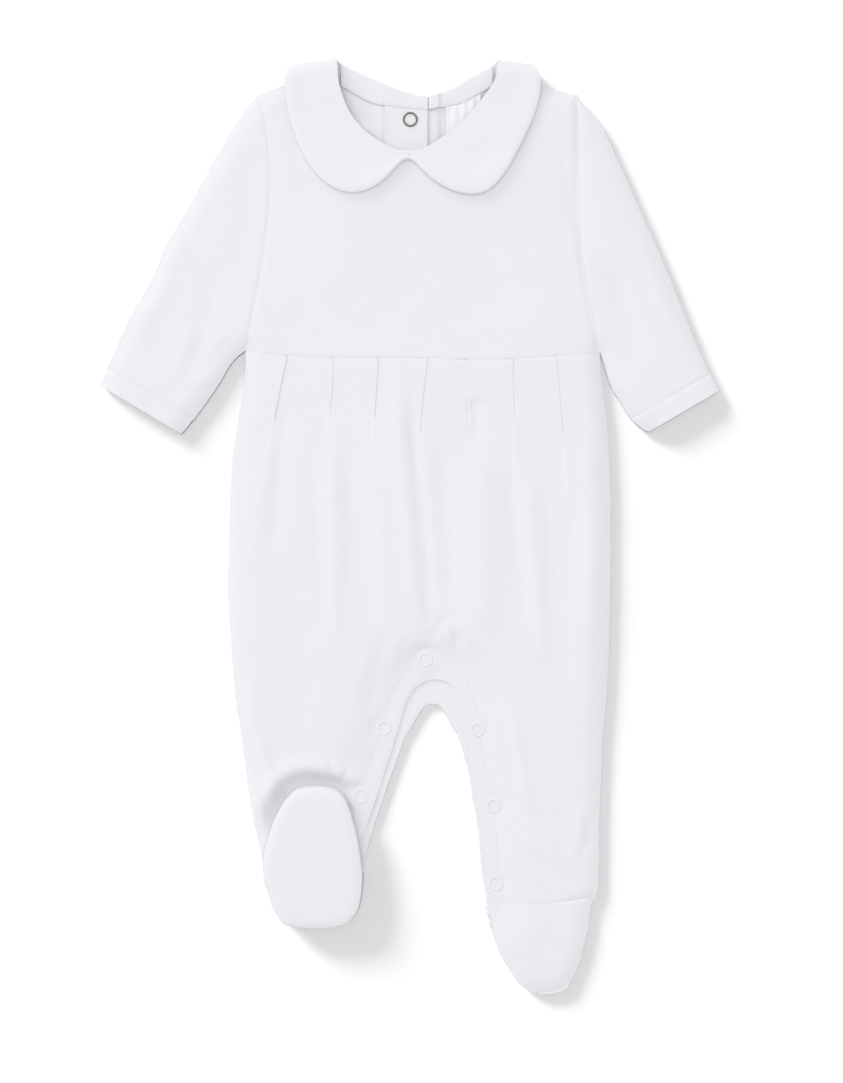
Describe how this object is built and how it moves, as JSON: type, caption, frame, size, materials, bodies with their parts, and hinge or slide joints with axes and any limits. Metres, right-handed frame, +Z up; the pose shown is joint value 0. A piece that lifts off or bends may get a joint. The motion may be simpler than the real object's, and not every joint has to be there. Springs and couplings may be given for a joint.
{
  "type": "baby sleepsuit",
  "caption": "Long-sleeved baby sleepsuit with closed feet, round collar, pleated waist and snapped inseam, laid flat on its back with one foot folded up.",
  "frame": {"origin": "middle of the footprint, on the surface that the suit rests on", "axes": "+Y along the length towards the neck, +X across to the sleeve on the right as seen from above, +Z up from the surface"},
  "size_m": [0.3842, 0.5782, 0.0152],
  "materials": {
    "cotton_knit": "fine smooth white cotton interlock, matt",
    "label_satin": "white woven satin, slightly glossy",
    "snap_white": "white enamelled ring snap, half gloss",
    "snap_nickel": "bare nickel ring snap"
  },
  "bodies": {
    "root": {"front_yoke": "cotton_knit", "back_yoke_left": "cotton_knit", "back_yoke_right": "cotton_knit", "sleeve_left": "cotton_knit", "sleeve_right": "cotton_knit", "collar_left": "cotton_knit", "collar_right": "cotton_knit", "neck_tape_left": "cotton_knit", "neck_tape_right": "cotton_knit", "back_placket": "cotton_knit", "front_lower": "cotton_knit", "back_lower": "cotton_knit", "back_inseam_band": "cotton_knit", "foot_right_upper": "cotton_knit", "foot_right_sole": "cotton_knit", "foot_left_layers": "cotton_knit", "foot_left_sole": "cotton_knit", "neck_label": "label_satin", "snap_crotch": "snap_white", "snap_left_1": "snap_white", "snap_left_2": "snap_white", "snap_left_3": "snap_white", "snap_right_1": "snap_white", "snap_right_2": "snap_white", "snap_right_3": "snap_white", "snap_back_1": "snap_nickel", "snap_back_2": "snap_nickel", "snap_back_3": "snap_nickel"}
  },
  "joints": []
}
